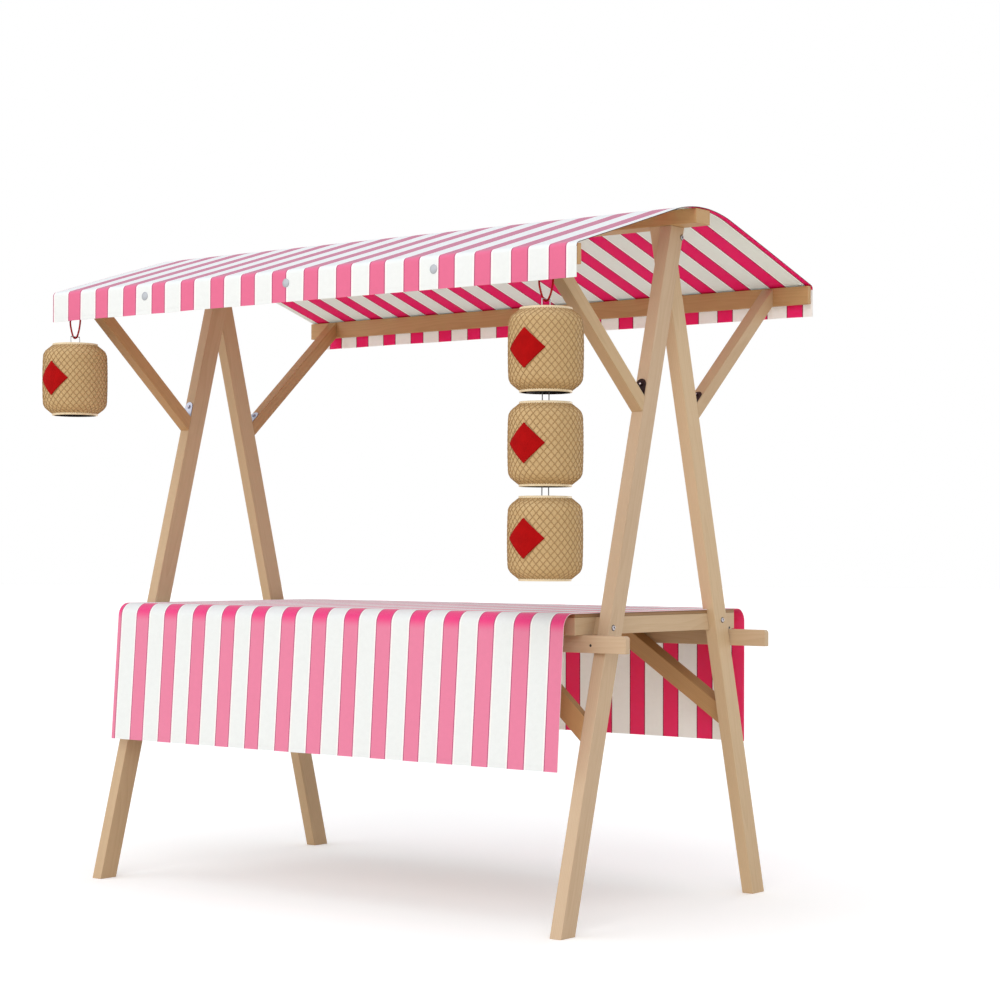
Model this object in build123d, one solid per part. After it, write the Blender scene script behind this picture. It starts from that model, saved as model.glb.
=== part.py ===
from build123d import *
import math
import os

# Wooden market stall with a striped canopy, a counter under a cloth and hanging lanterns.
# Millimetres. X runs along the stall, -Y is the customers' side, Z is up from the floor.
# The origin is on the floor, below the middle of the ridge.

# Two A-shaped end frames: a front and a rear leg lapped side by side.
leg_thick = 38            # along X
leg_width = 63.5           # across the leg, in the plane of the A
leg_lean = 14.8           # degrees from upright
foot_spread = 1033        # front foot to rear foot, between the centres
frame_outside = 1858      # over both end frames, along X

# Ridge beam and eave rails
roof_length = 2026
ridge_width = 72
ridge_height = 42
ridge_underside = 1954
rail_thick = 17
rail_height = 55
rail_top = 1836
rail_spread = 1206        # over the outer faces of both eave rails

# Struts from the legs up to the eave rails
strut_depth = 40
strut_foot_height = 1441  # where the strut's middle line meets the leg's outer edge

# Bent steel brackets in the crook of strut and leg
bracket_width = 32
bracket_arm = 52
bracket_thick = 3
bolt_head_radius = 6
bolt_head_height = 4

# Counter: frame of rails on two long bearers, with a thin board on top
counter_height = 860
board_thick = 10
counter_length = 1736
counter_depth = 814
end_rail_thick = 34
side_rail_thick = 22
counter_rail_height = 48
joist_thick = 22
bearer_left_reach = 968    # from the middle of the stall
bearer_right_reach = 1010
bearer_thick = 20
bearer_height = 48
seat_gap = 0.2            # between a leg and the square-cut wood that leans on it
packing_inset = 14        # from the leg's edges to those of the block behind it

# Knee braces between the bearers and the legs
brace_depth = 54
brace_thick = 40
brace_run = 290           # from the leg to the brace's upper end, along X
brace_angle = 38          # degrees from level, in the leaning plane of the legs

# Cloth: canopy and counter cover
cloth_thick = 2
cloth_gap = 0.5           # between a cloth and the wood under it
canopy_overhang = 2       # past each end of the eave rails
canopy_eave_gap = 7       # between the eave rail and the middle of the valance
valance_drop = 91         # from the top of the eave rail to the canopy's hem
eave_bend = 13
crown_reach = 77          # from the middle to where a slope's line meets the level top
crown_flat = 19.19        # level strip along the top, between the wide bends of the slopes
crown_rise = 1.2          # the level top above the beam, so that the curve clears its edges
cover_overhang = 2        # past each end of the counter
cover_front_gap = 52      # from the counter's front edge to the line of the fold
cover_rear_gap = 55
cover_bend = 40
cover_front_drop = 424    # from the counter's top to the hem
cover_rear_drop = 399
cover_front_flare = 30    # how far the hem hangs out past the fold
cover_rear_flare = 2
notch_gap = 1.5           # between a cloth or the board and the leg it is cut round

# Lanterns: woven shells hung from screw hooks under the front eave rail
lantern_radius = 99
lantern_rim_radius = 67
lantern_height = 224
lantern_wall = 3
hoop_width = 5            # light cane hoop round each rim
hoop_height = 8
lantern_shoulder = 28     # from the rim down to where the line of the neck meets the side
shoulder_bend = 30
lantern_belly = 1.5       # how far the middle stands out past the shoulders
lantern_pitch = 248.5     # from one lantern in the stack to the next
left_lantern_inset = 83   # from the left end of the eave rail to the lantern's axis
right_lantern_inset = 108
wire_radius = 1.5
bar_gap = 0.2             # between a crossbar's ends and the hoop
bail_half_width = 18      # front to rear
bail_height = 27          # from the crossbar to the top of its arch
link_half_width = 11
eye_radius = 6            # middle line of the screw eye
eye_shank = 5             # rail underside to the top of the eye's middle line
knot_radius = 7.5
cord_radius = 2.5
cord_seat = 0.3           # between the cord and the wire it hangs from or carries
# Each cord loop, from its knot over the eye, down and round under the bail, and back
# up to the knot: distance from the lantern's axis, and height above the lowest point.
cord_loop = [
    (-20, 64), (-10, 76.8), (10, 76.8), (20.5, 67), (23.8, 54), (20, 33), (14, 14),
    (6, 0), (-6, 0), (-14, 14), (-20, 33), (-23.5, 48), (-23, 60),
]

# Worked out from the sizes above
lean = math.radians(leg_lean)
leg_level_width = leg_width / math.cos(lean)
frame_outer_x = frame_outside / 2
frame_mid_x = frame_outer_x - leg_thick
frame_inner_x = frame_outer_x - 2 * leg_thick
rail_outer_y = rail_spread / 2
rail_inner_y = rail_outer_y - rail_thick
rail_underside = rail_top - rail_height
ridge_top = ridge_underside + ridge_height
counter_rail_top = counter_height - board_thick
counter_rail_underside = counter_rail_top - counter_rail_height
bearer_underside = counter_rail_underside - bearer_height
counter_end_x = counter_length / 2
counter_edge_y = counter_depth / 2
left_lantern_x = -roof_length / 2 + left_lantern_inset
right_lantern_x = roof_length / 2 - right_lantern_inset
lantern_y = -(rail_outer_y + rail_inner_y) / 2
eye_height = rail_underside - eye_shank - eye_radius
cord_top = eye_height - eye_radius + wire_radius + cord_seat + cord_radius
cord_bottom = cord_top - max(height for _, height in cord_loop)
bail_top = cord_bottom + cord_radius + cord_seat + wire_radius
bar_height = bail_top - bail_height
hang_rim = bar_height + hoop_height / 2


def box(x, y, z):
    """A block between two values on each axis."""
    size = [high - low for low, high in (x, y, z)]
    middle = [(low + high) / 2 for low, high in (x, y, z)]
    return Pos(*middle) * Box(*size)


def prism(points, x_low, x_high):
    """A flat outline in Y and Z, drawn out along X."""
    outline = Polyline([(x_low, y, z) for y, z in points], close=True)
    return extrude(make_face(outline), x_high - x_low, dir=(1, 0, 0))


def meet(p, u, q, v):
    """Where the line through p along u crosses the line through q along v."""
    cross = u[0] * v[1] - u[1] * v[0]
    t = ((q[0] - p[0]) * v[1] - (q[1] - p[1]) * v[0]) / cross
    return (p[0] + t * u[0], p[1] + t * u[1])


def leg_edge(height):
    """Distance of a leg's outer edge from the middle, at a height."""
    return foot_spread / 2 + leg_level_width / 2 - height * math.tan(lean)


def leg_outline(side, low, high, gap=0):
    """Level-cut outline of a leg, front (side -1) or rear (side 1)."""
    points = []
    for height, inset in ((low, 0), (low, leg_level_width), (high, leg_level_width), (high, 0)):
        spread = gap if inset == 0 else -gap
        points.append((side * (leg_edge(height) - inset + spread), height))
    return points


def leg_span(end, side):
    """X range of a leg. Front legs lie on the +X side of the rear legs."""
    outer = (side < 0) == (end > 0)
    low, high = (frame_mid_x, frame_outer_x) if outer else (frame_inner_x, frame_mid_x)
    return (low, high) if end > 0 else (-high, -low)


def leg(end, side):
    return prism(leg_outline(side, 0, ridge_underside), *leg_span(end, side))


def inner_leg_room(end):
    """The space of the leg that stands beside the counter, with its clearance."""
    side = 1 if end > 0 else -1
    x = leg_span(end, side)
    x = (x[0] - notch_gap, x[1]) if end > 0 else (x[0], x[1] + notch_gap)
    gap = notch_gap / math.cos(lean)
    return prism(leg_outline(side, bearer_underside, ridge_underside, gap), *x)


# Struts: the middle line runs from the leg's outer edge to the middle of the eave rail.
strut_start = (leg_edge(strut_foot_height), strut_foot_height)
strut_end = (rail_inner_y, (rail_top + rail_underside) / 2)
strut_length = math.dist(strut_start, strut_end)
strut_dir = tuple((b - a) / strut_length for a, b in zip(strut_start, strut_end))
strut_up = (-strut_dir[1], strut_dir[0])
leg_dir = (-math.sin(lean), math.cos(lean))


def strut(end, side):
    corners = []
    for half in (-strut_depth / 2, strut_depth / 2):
        edge = (strut_start[0] + strut_up[0] * half, strut_start[1] + strut_up[1] * half)
        at_leg = meet(edge, strut_dir, strut_start, leg_dir)
        at_rail = meet(edge, strut_dir, strut_end, (0, 1))
        corners.append((at_leg, at_rail))
    outline = [corners[0][0], corners[0][1], corners[1][1], corners[1][0]]
    return prism([(side * y, z) for y, z in outline], *leg_span(end, side))


def bracket(end, side):
    """Bent plate with round ends, one arm on the leg and one on the strut."""
    top = (strut_start[0] + strut_up[0] * strut_depth / 2, strut_start[1] + strut_up[1] * strut_depth / 2)
    crook = meet(top, strut_dir, strut_start, leg_dir)
    x_middle = sum(leg_span(end, side)) / 2
    leg_normal = (math.cos(lean), math.sin(lean))
    plate = None
    for along, normal in ((leg_dir, leg_normal), (strut_dir, strut_up)):
        face = Plane(
            origin=(x_middle, side * crook[0], crook[1]),
            x_dir=(0, side * along[0], along[1]),
            z_dir=(0, side * normal[0], normal[1]),
        )
        straight = bracket_arm - bracket_width / 2
        outline = Pos(straight / 2, 0) * Rectangle(straight, bracket_width)
        outline += Pos(straight, 0) * Circle(bracket_width / 2)
        arm = extrude(face * outline, bracket_thick)
        seat = face.offset(bracket_thick) * Pos(straight, 0)
        arm += extrude(seat * Circle(bolt_head_radius), bolt_head_height)
        plate = arm if plate is None else plate + arm
    return plate - leg(end, side) - strut(end, side)


def eave_rail(side):
    y = sorted((side * rail_inner_y, side * rail_outer_y))
    return box((-roof_length / 2, roof_length / 2), y, (rail_underside, rail_top))


def bearer(side):
    inner = leg_edge(bearer_underside) + seat_gap
    y = sorted((side * inner, side * (inner + bearer_thick)))
    x = (-bearer_left_reach, bearer_right_reach)
    return box(x, y, (bearer_underside, counter_rail_underside))


def knee_brace(end, side):
    """Brace in the leaning plane of the legs, its outer face level with theirs."""
    x_leg = leg_span(end, side)[0] if end > 0 else leg_span(end, side)[1]
    up = (0, -side * math.sin(lean), math.cos(lean))
    out = (0, side * math.cos(lean), math.sin(lean))
    top = counter_rail_underside / math.cos(lean)
    plane = Plane(origin=(x_leg, side * leg_edge(0), 0), x_dir=(-end, 0, 0), z_dir=out)
    rise = math.tan(math.radians(brace_angle))
    drop = brace_depth / math.cos(math.radians(brace_angle))
    upper_run = brace_run
    outline = [
        (0, top - upper_run * rise),
        (upper_run, top),
        (upper_run + drop / rise, top),
        (0, top - upper_run * rise - drop),
    ]
    flip = 1 if plane.y_dir.Z > 0 else -1
    face = make_face(Polyline([(x, flip * s) for x, s in outline], close=True))
    return extrude(plane * face, -brace_thick)


def end_rail(end):
    x = sorted((end * (counter_end_x - end_rail_thick), end * counter_end_x))
    rail = box(x, (-counter_edge_y, counter_edge_y), (counter_rail_underside, counter_rail_top))
    return rail - inner_leg_room(end)


def packing_block(end):
    """Block between the end rail and the leg that stands further out, set back behind it."""
    side = -1 if end > 0 else 1
    x = sorted((end * counter_end_x, end * frame_mid_x))
    outline = leg_outline(side, counter_rail_underside, counter_rail_top, -packing_inset)
    return prism(outline, *x)


def side_rail(side):
    length = counter_end_x - end_rail_thick
    y = sorted((side * (counter_edge_y - side_rail_thick), side * counter_edge_y))
    return box((-length, length), y, (counter_rail_underside, counter_rail_top))


def joist():
    x = (-joist_thick / 2, joist_thick / 2)
    reach = counter_edge_y - side_rail_thick
    return box(x, (-reach, reach), (counter_rail_underside, counter_rail_top))


def counter_board():
    x = (-counter_end_x, counter_end_x)
    board = box(x, (-counter_edge_y, counter_edge_y), (counter_rail_top, counter_height))
    return board - inner_leg_room(1) - inner_leg_room(-1)


def sheet(path_points, radii, length):
    """A cloth of one thickness whose side view follows a line with rounded corners."""
    path = FilletPolyline([(0, y, z) for y, z in path_points], radius=radii)
    middle = Plane.YZ.to_local_coords(path)
    outline = trace(middle, cloth_thick)
    flat = Plane.YZ.offset(-length / 2) * outline
    return extrude(flat, length, dir=(1, 0, 0))


def canopy():
    lift = cloth_gap + cloth_thick / 2
    eave = (rail_outer_y, rail_top + lift)
    crown = (crown_reach, ridge_top + lift + crown_rise)
    run = math.dist(eave, crown)
    slope = ((crown[0] - eave[0]) / run, (crown[1] - eave[1]) / run)
    valance_y = rail_outer_y + canopy_eave_gap
    corner = meet(eave, slope, (valance_y, 0), (0, 1))
    half = [(valance_y, rail_top - valance_drop), corner, crown]
    path = [(-y, z) for y, z in half] + half[::-1]
    turn = abs(math.atan2(crown[1] - eave[1], eave[0] - crown[0]))
    ridge_bend = (crown_reach - crown_flat / 2) / math.tan(turn / 2)
    length = roof_length + 2 * canopy_overhang
    return sheet(path, [eave_bend, ridge_bend, ridge_bend, eave_bend], length)


def table_cloth():
    middle = counter_height + cloth_gap + cloth_thick / 2
    front = -counter_edge_y - cover_front_gap
    rear = counter_edge_y + cover_rear_gap
    path = [
        (front - cover_front_flare, counter_height - cover_front_drop),
        (front, middle),
        (rear, middle),
        (rear + cover_rear_flare, counter_height - cover_rear_drop),
    ]
    cover = sheet(path, [cover_bend, cover_bend], counter_length + 2 * cover_overhang)
    return cover - inner_leg_room(1) - inner_leg_room(-1)


def lantern(x, rim_height):
    """Woven shell with a cane hoop at each open rim, turned about its upright axis."""
    half = lantern_height / 2
    flank = lantern_radius - lantern_belly
    start = half - hoop_height / 2
    shoulder = half - lantern_shoulder
    side = shoulder - shoulder_bend
    neck = [(lantern_rim_radius, start), (flank, shoulder), (flank, side)]
    upper = FilletPolyline(neck, radius=shoulder_bend)
    belly = ThreePointArc((flank, side), (lantern_radius, 0), (flank, -side))
    lower = FilletPolyline([(r, -z) for r, z in neck[::-1]], radius=shoulder_bend)
    profile = trace(upper + belly + lower, lantern_wall)
    for middle in (start, -start):
        profile += Pos(lantern_rim_radius, middle) * Rectangle(hoop_width, hoop_height)
    shell = revolve(Plane.XZ * profile, Axis.Z)
    return Pos(x, lantern_y, rim_height - half) * shell


def wire(start, end):
    """A straight round wire between two points."""
    direction = Vector(*end) - Vector(*start)
    return extrude(Plane(origin=start, z_dir=direction) * Circle(wire_radius), direction.length)


def crossbar(height):
    """A wire across the opening, between the inner faces of the hoop."""
    half = lantern_rim_radius - hoop_width / 2 - bar_gap
    return wire((-half, 0, height), (half, 0, height))


def bail(x):
    """Crossbar with a small arch of wire in its middle, both front to rear."""
    frame = crossbar(bar_height)
    tops = [(offset, 0, bail_top) for offset in (-bail_half_width, bail_half_width)]
    for top in tops:
        frame += wire((top[0], 0, bar_height), top)
        frame += Pos(*top) * Sphere(wire_radius)
    frame += wire(*tops)
    return Pos(x, lantern_y, 0) * Rot(0, 0, 90) * frame


def link(x, upper_rim):
    """Two crossbars joined by two upright wires, from one lantern down to the next."""
    upper = upper_rim - lantern_height + hoop_height / 2
    lower = upper_rim - lantern_pitch - hoop_height / 2
    frame = crossbar(upper) + crossbar(lower)
    for offset in (-link_half_width, link_half_width):
        frame += wire((offset, 0, lower), (offset, 0, upper))
    return Pos(x, lantern_y, 0) * frame


def screw_eye(x):
    """Closed eye under the rail, its ring across the stall so that the cord runs through."""
    ring = Pos(x, lantern_y, eye_height) * Rot(0, 90, 0) * Torus(eye_radius, wire_radius)
    return ring + wire((x, lantern_y, eye_height + eye_radius), (x, lantern_y, rail_underside))


def cord_point(x, place):
    """A point of the cord loop that hangs above the lantern at x."""
    return Vector(x + place[0], lantern_y, cord_bottom + place[1])


def knot(x):
    """The ball of the knot that closes the loop, up behind the valance."""
    middle = (cord_point(x, cord_loop[0]) + cord_point(x, cord_loop[-1])) / 2
    return Pos(middle) * Sphere(knot_radius)


def cord(x):
    """The cord loop: straight runs joined by arcs as wide as the runs allow."""
    path_points = [cord_point(x, place) for place in cord_loop]
    radii = []
    for before, here, after in zip(path_points, path_points[1:], path_points[2:]):
        run = min((here - before).length, (after - here).length)
        turn = math.radians((here - before).get_angle(after - here))
        radii.append(0.45 * run / math.tan(turn / 2))
    path = FilletPolyline(path_points, radius=radii)
    section = Plane(origin=path @ 0, z_dir=path % 0) * Circle(cord_radius)
    tube = sweep(section, path)
    length = path.length
    share = tube.volume / (math.pi * cord_radius**2 * length)
    print(f"cord {length:.1f} mm, volume {share:.4f} of section x length")
    print("cord radii", [round(r, 1) for r in radii])
    return tube - knot(x)


os.makedirs("parts", exist_ok=True)
nodes = {}
ends = {"left": -1, "right": 1}
sides = {"front": -1, "rear": 1}

for end_name, end in ends.items():
    for side_name, side in sides.items():
        corner = f"{end_name}_{side_name}"
        nodes[f"{corner}_leg"] = leg(end, side)
        nodes[f"{corner}_eave_strut"] = strut(end, side)
        nodes[f"{corner}_bracket"] = bracket(end, side)
        nodes[f"{corner}_knee_brace"] = knee_brace(end, side)
    nodes[f"{end_name}_end_rail"] = end_rail(end)
    nodes[f"{end_name}_packing_block"] = packing_block(end)

for side_name, side in sides.items():
    nodes[f"{side_name}_eave_rail"] = eave_rail(side)
    nodes[f"{side_name}_bearer"] = bearer(side)
    nodes[f"{side_name}_counter_rail"] = side_rail(side)

nodes["ridge_beam"] = box(
    (-roof_length / 2, roof_length / 2),
    (-ridge_width / 2, ridge_width / 2),
    (ridge_underside, ridge_top),
)
nodes["middle_joist"] = joist()
nodes["counter_board"] = counter_board()
nodes["left_lantern"] = lantern(left_lantern_x, hang_rim)
for place, name in enumerate(("top", "middle", "bottom")):
    nodes[f"right_lantern_{name}"] = lantern(right_lantern_x, hang_rim - place * lantern_pitch)
for place, name in enumerate(("upper", "lower")):
    nodes[f"lantern_link_{name}"] = link(right_lantern_x, hang_rim - place * lantern_pitch)
for end_name, x in (("left", left_lantern_x), ("right", right_lantern_x)):
    nodes[f"{end_name}_lantern_bail"] = bail(x)
    nodes[f"{end_name}_screw_eye"] = screw_eye(x)
    nodes[f"{end_name}_cord_knot"] = knot(x)
    nodes[f"{end_name}_lantern_cord"] = cord(x)
nodes["canopy"] = canopy()
nodes["table_cloth"] = table_cloth()

for name, shape in nodes.items():
    export_step(shape, f"parts/{name}.step")
print(len(nodes), "nodes written")
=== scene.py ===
# %% [markdown]
# A wooden market stall: two A-shaped end frames, a ridge beam and eave rails, a counter on long
# bearers, a striped canopy, a striped table cloth and woven lanterns.
#
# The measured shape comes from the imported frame. What is made here is what the eye reads as
# real: planed edges and grain on the timber, the cloth with its hems, the weave of the lanterns,
# the twisted cords, and the bolts, screws and press studs.

# %% load the measured frame
import math
import random

import bmesh
import bpy
from mathutils import Matrix, Vector, noise


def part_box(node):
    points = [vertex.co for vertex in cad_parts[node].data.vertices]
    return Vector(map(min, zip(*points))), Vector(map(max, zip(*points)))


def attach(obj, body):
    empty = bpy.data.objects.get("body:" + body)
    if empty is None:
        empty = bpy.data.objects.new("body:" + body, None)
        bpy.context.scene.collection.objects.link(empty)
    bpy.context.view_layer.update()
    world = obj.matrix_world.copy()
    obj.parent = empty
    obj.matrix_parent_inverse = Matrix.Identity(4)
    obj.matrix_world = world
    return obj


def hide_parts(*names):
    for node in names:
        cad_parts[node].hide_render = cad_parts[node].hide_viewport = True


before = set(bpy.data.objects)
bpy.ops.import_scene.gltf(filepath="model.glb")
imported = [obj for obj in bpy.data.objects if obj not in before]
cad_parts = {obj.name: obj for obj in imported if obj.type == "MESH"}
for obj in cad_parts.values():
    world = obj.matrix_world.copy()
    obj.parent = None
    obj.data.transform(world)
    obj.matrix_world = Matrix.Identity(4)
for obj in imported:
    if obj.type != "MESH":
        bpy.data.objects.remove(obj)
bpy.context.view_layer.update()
print("parts in the frame:", len(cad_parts))

# %% [markdown]
# The camera stands to the right of the stall and looks level, so upright lines stay parallel. Its
# place, its lens and a quarter of a degree of roll were worked out from the ends of the beams.
# The shift does what a view camera's rising front does: it moves the picture up without tilting
# the lens, which would make the legs lean together.

# %% the camera
CAMERA_PLACE = (4.4972, -5.4328, 1.0279)
CAMERA_TURN, CAMERA_ROLL = math.radians(37.771), math.radians(0.248)


def in_scene(name, data):
    """A new object that shows a camera, a mesh, a curve or a lamp."""
    thing = bpy.data.objects.new(name, data)
    bpy.context.scene.collection.objects.link(thing)
    return thing


eye = bpy.data.cameras.new("camera")
eye.sensor_width = 36
eye.lens = 82.2
eye.shift_x = 0.0020
eye.shift_y = 0.0520
camera = in_scene("camera", eye)
camera.matrix_world = (
    Matrix.Translation(CAMERA_PLACE)
    @ Matrix.Rotation(CAMERA_TURN, 4, "Z")
    @ Matrix.Rotation(math.radians(90), 4, "X")
    @ Matrix.Rotation(CAMERA_ROLL, 4, "Z")
)
bpy.context.scene.camera = camera
print("lens", eye.lens, "mm")

# %% [markdown]
# Every new piece is a mesh. It could be modelled in edit mode, but a bmesh needs no window and no
# selection, and its operators say what they do. These helpers turn a finished bmesh into an object
# that rides on the frame, with smooth or flat shading and its first material.

# %% from a bmesh to a piece
def mesh_from(bm, name):
    mesh = bpy.data.meshes.new(name)
    bm.to_mesh(mesh)
    bm.free()
    return mesh


def shaded(mesh, smooth=True):
    mesh.polygons.foreach_set("use_smooth", [smooth] * len(mesh.polygons))
    return mesh


def piece_of(mesh, name, finish):
    piece = in_scene(name, mesh)
    mesh.materials.append(finish)
    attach(piece, "root")
    return piece


def piece_from(bm, name, finish, smooth=True):
    return piece_of(shaded(mesh_from(bm, name), smooth), name, finish)


# %% [markdown]
# Colours are written as the eye reads them on a screen, from 0 to 255, and turned into the linear
# values that the shaders add up. A finish could be a painted picture, but nodes stay sharp at any
# distance and need no file. One helper makes a node, sets its plain sockets and links the rest.

# %% colours and nodes
def tint(red, green, blue):
    values = []
    for c in (red / 255, green / 255, blue / 255):
        values.append(c / 12.92 if c <= 0.04045 else ((c + 0.055) / 1.055) ** 2.4)
    return (*values, 1.0)


def fill(tree, node, values):
    for socket, value in values.items():
        if isinstance(value, bpy.types.NodeSocket):
            tree.links.new(value, node.inputs[socket])
        else:
            node.inputs[socket].default_value = value
    return node


def add(tree, kind, values=None, **fields):
    made = tree.nodes.new("ShaderNode" + kind)
    for field, value in fields.items():
        setattr(made, field, value)
    return fill(tree, made, values or {})


def reckon(tree, operation, a, b=0.0, c=0.0):
    return add(tree, "Math", {0: a, 1: b, 2: c}, operation=operation).outputs[0]


def blend(tree, share, a, b):
    return add(tree, "Mix", {0: share, 6: a, 7: b}, data_type="RGBA").outputs[2]


print("middle grey in linear values:", tint(128, 128, 128)[0])

# %% [markdown]
# Real surfaces are never one flat colour. Soft noise on the piece's own coordinates gives a
# drifting tint, a roughness or a fine relief, and noise that is squeezed more along one axis than
# along another gives streaks. Such noise stays on the piece when it is looked at from elsewhere.

# %% noise
def on_piece(tree):
    """Where a point lies on the piece, in metres."""
    return add(tree, "TexCoord").outputs["Object"]


def lumps(tree, place, scale, detail=2.0):
    """Soft noise around 0.5, with so many lumps to the metre."""
    return add(tree, "TexNoise", {"Vector": place, "Scale": scale, "Detail": detail}).outputs[0]


def streaks(tree, place, scales, detail=2.0):
    """The same noise, with its own number of lumps to the metre along each axis."""
    squeezed = add(tree, "Mapping", {"Vector": place, "Scale": scales}).outputs[0]
    return lumps(tree, squeezed, 1.0, detail)


def drifting(scale, detail, first, second):
    """A colour that drifts between two tints."""
    def colour(tree):
        share = lumps(tree, on_piece(tree), scale, detail)
        return blend(tree, share, tint(*first), tint(*second))

    return colour


print("noise helpers ready")

# %% [markdown]
# Red cord: dyed cotton, matt, a little lighter where the plies catch the light, and covered in
# fuzz that is too fine to model. Like most finishes here it is a Principled shader with a colour,
# a roughness and a relief, so one function makes them all.

# %% one finish, and the red cord's
def relief(tree, height, depth, strength):
    values = {"Height": height, "Distance": depth, "Strength": strength}
    return add(tree, "Bump", values).outputs[0]


def bare(name):
    """A new material, its node tree and its Principled shader."""
    material = bpy.data.materials.new(name)
    material.use_nodes = True
    tree = material.node_tree
    return material, tree, tree.nodes["Principled BSDF"]


def finish_of(name, colour, roughness, height=None, depth=0.0, strength=0.0, others=None):
    """A material. Its colour and roughness are plain, or made on its tree as its height is."""
    material, tree, skin = bare(name)
    sockets = {"Base Color": colour, "Roughness": roughness, **(others or {})}
    if height is not None:
        sockets["Normal"] = relief(tree, height(tree), depth, strength)
    for socket, value in sockets.items():
        fill(tree, skin, {socket: value(tree) if callable(value) else value})
    return material


def cord_fuzz(tree):
    return lumps(tree, on_piece(tree), 2200.0)


red_cord = finish_of(
    "red cord",
    drifting(900.0, 2.0, (140, 0, 8), (190, 12, 24)),
    0.8,
    height=cord_fuzz,
    depth=0.0002,
    strength=0.6,
    others={"Specular IOR Level": 0.2},
)
print("first finish:", red_cord.name)

# %% [markdown]
# The two cord loops hang from screw eyes under the front eave rail and hold the lanterns. Each
# is one length of twisted cord that leaves its knot behind the valance, runs through the eye,
# opens like a drop, turns under the wire bail and comes back up. The same few points as in the
# measured model steer a NURBS curve, which gives the slack curve that a limp cord takes.

# %% the line of each cord loop
CORD_BOTTOM = 1.6915
LANTERN_Y = -0.5945
LANTERN_X = {"left": -0.930, "right": 0.905}
CORD_LOOP = [
    (-0.020, 0.064), (-0.010, 0.0768), (0.010, 0.0768), (0.0205, 0.067), (0.0238, 0.054),
    (0.020, 0.033), (0.014, 0.014), (0.006, 0.0), (-0.006, 0.0), (-0.014, 0.014),
    (-0.020, 0.033), (-0.0235, 0.048), (-0.023, 0.060),
]


def mesh_of(curve):
    """The mesh that a curve shows. The object that stands in for it is removed again."""
    holder = in_scene(curve.name, curve)
    bpy.context.view_layer.update()
    seen = holder.evaluated_get(bpy.context.evaluated_depsgraph_get())
    mesh = bpy.data.meshes.new_from_object(seen)
    mesh.name = curve.name
    bpy.data.objects.remove(holder)
    return mesh


def cord_line(name, x):
    line = bpy.data.curves.new(name + " line", "CURVE")
    line.dimensions = "3D"
    line.resolution_u = 24
    spline = line.splines.new("NURBS")
    spline.points.add(len(CORD_LOOP) - 1)
    for control, (side, height) in zip(spline.points, CORD_LOOP):
        control.co = (x + side, LANTERN_Y, CORD_BOTTOM + height, 1)
    spline.order_u = 3
    spline.use_endpoint_u = True
    return [v.co.copy() for v in mesh_of(line).vertices]


cord_lines = {end: cord_line(end, x) for end, x in LANTERN_X.items()}
cord_length = sum((b - a).length for a, b in zip(cord_lines["left"], cord_lines["left"][1:]))
print("cord loop", round(cord_length * 1000, 1), "mm")

# %% [markdown]
# The cord is three plies laid together. One smooth tube would do from afar, but the twist shows at
# this size, so each ply gets a line of its own that winds round the loop, and a round tube along
# that line.

# %% plies wound round the line
CORD_RADIUS = 0.0025
PLIES, PLY_PITCH = 3, 0.014
PLY_RADIUS, PLY_OFFSET = 0.62 * CORD_RADIUS, 0.56 * CORD_RADIUS
DEPTHWAYS = Vector((0, 1, 0))


def ply_line(points, start):
    """A line that winds round a line of points in the XZ plane, from a share of a turn."""
    line, run = [], 0.0
    for i, point in enumerate(points):
        before, after = points[max(i - 1, 0)], points[min(i + 1, len(points) - 1)]
        side = DEPTHWAYS.cross(after - before).normalized()
        run += (point - before).length
        turn = 2 * math.pi * (run / PLY_PITCH + start)
        line.append(point + (side * math.cos(turn) + DEPTHWAYS * math.sin(turn)) * PLY_OFFSET)
    return line


def tube(lines, radius, rounding, name):
    """A round tube along each line of points, with closed ends, as one mesh."""
    rope = bpy.data.curves.new(name, "CURVE")
    rope.dimensions = "3D"
    rope.bevel_depth = radius
    rope.bevel_resolution = rounding
    rope.use_fill_caps = True
    for line in lines:
        strand = rope.splines.new("POLY")
        strand.points.add(len(line) - 1)
        for control, point in zip(strand.points, line):
            control.co = (*point, 1)
    return mesh_of(rope)


for end, line in cord_lines.items():
    plies = [ply_line(line, ply / PLIES) for ply in range(PLIES)]
    mesh = tube(plies, PLY_RADIUS, 2, end + "_cord")
    piece_of(mesh, end + "_cord", red_cord)
    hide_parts(end + "_lantern_cord")
    print(end, "cord", len(mesh.polygons), "faces")

# %% [markdown]
# The knot is a plain overhand knot. Its closed form is the trefoil, a curve with a short formula,
# so the tube really goes over and under itself, which a lump with a rough surface would not. Two
# cut ends stick out beside it.

# %% the knots
KNOT_SIDE, KNOT_HEIGHT = -0.0215, 0.062
KNOT_SIZE, KNOT_DEPTH, KNOT_RADIUS = 0.0017, 0.0024, 0.0022
KNOT_STEPS = 60


def overhand(middle):
    points = []
    for i in range(KNOT_STEPS + 1):
        t = 2 * math.pi * i / KNOT_STEPS
        x = KNOT_SIZE * (math.sin(t) + 2 * math.sin(2 * t))
        z = KNOT_SIZE * (math.cos(t) - 2 * math.cos(2 * t))
        points.append(middle + Vector((x, -KNOT_DEPTH * math.sin(3 * t), z)))
    return points


def cut_ends(middle):
    return [
        [middle + Vector((-0.003, y, 0.001)), middle + Vector((-0.009, 1.6 * y, z))]
        for y, z in ((-0.002, -0.006), (0.002, -0.002))
    ]


for end, x in LANTERN_X.items():
    middle = Vector((x + KNOT_SIDE, LANTERN_Y, CORD_BOTTOM + KNOT_HEIGHT))
    mesh = tube([overhand(middle), *cut_ends(middle)], KNOT_RADIUS, 3, end + "_knot")
    piece_of(shaded(mesh), end + "_knot", red_cord)
    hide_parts(end + "_cord_knot")

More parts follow.
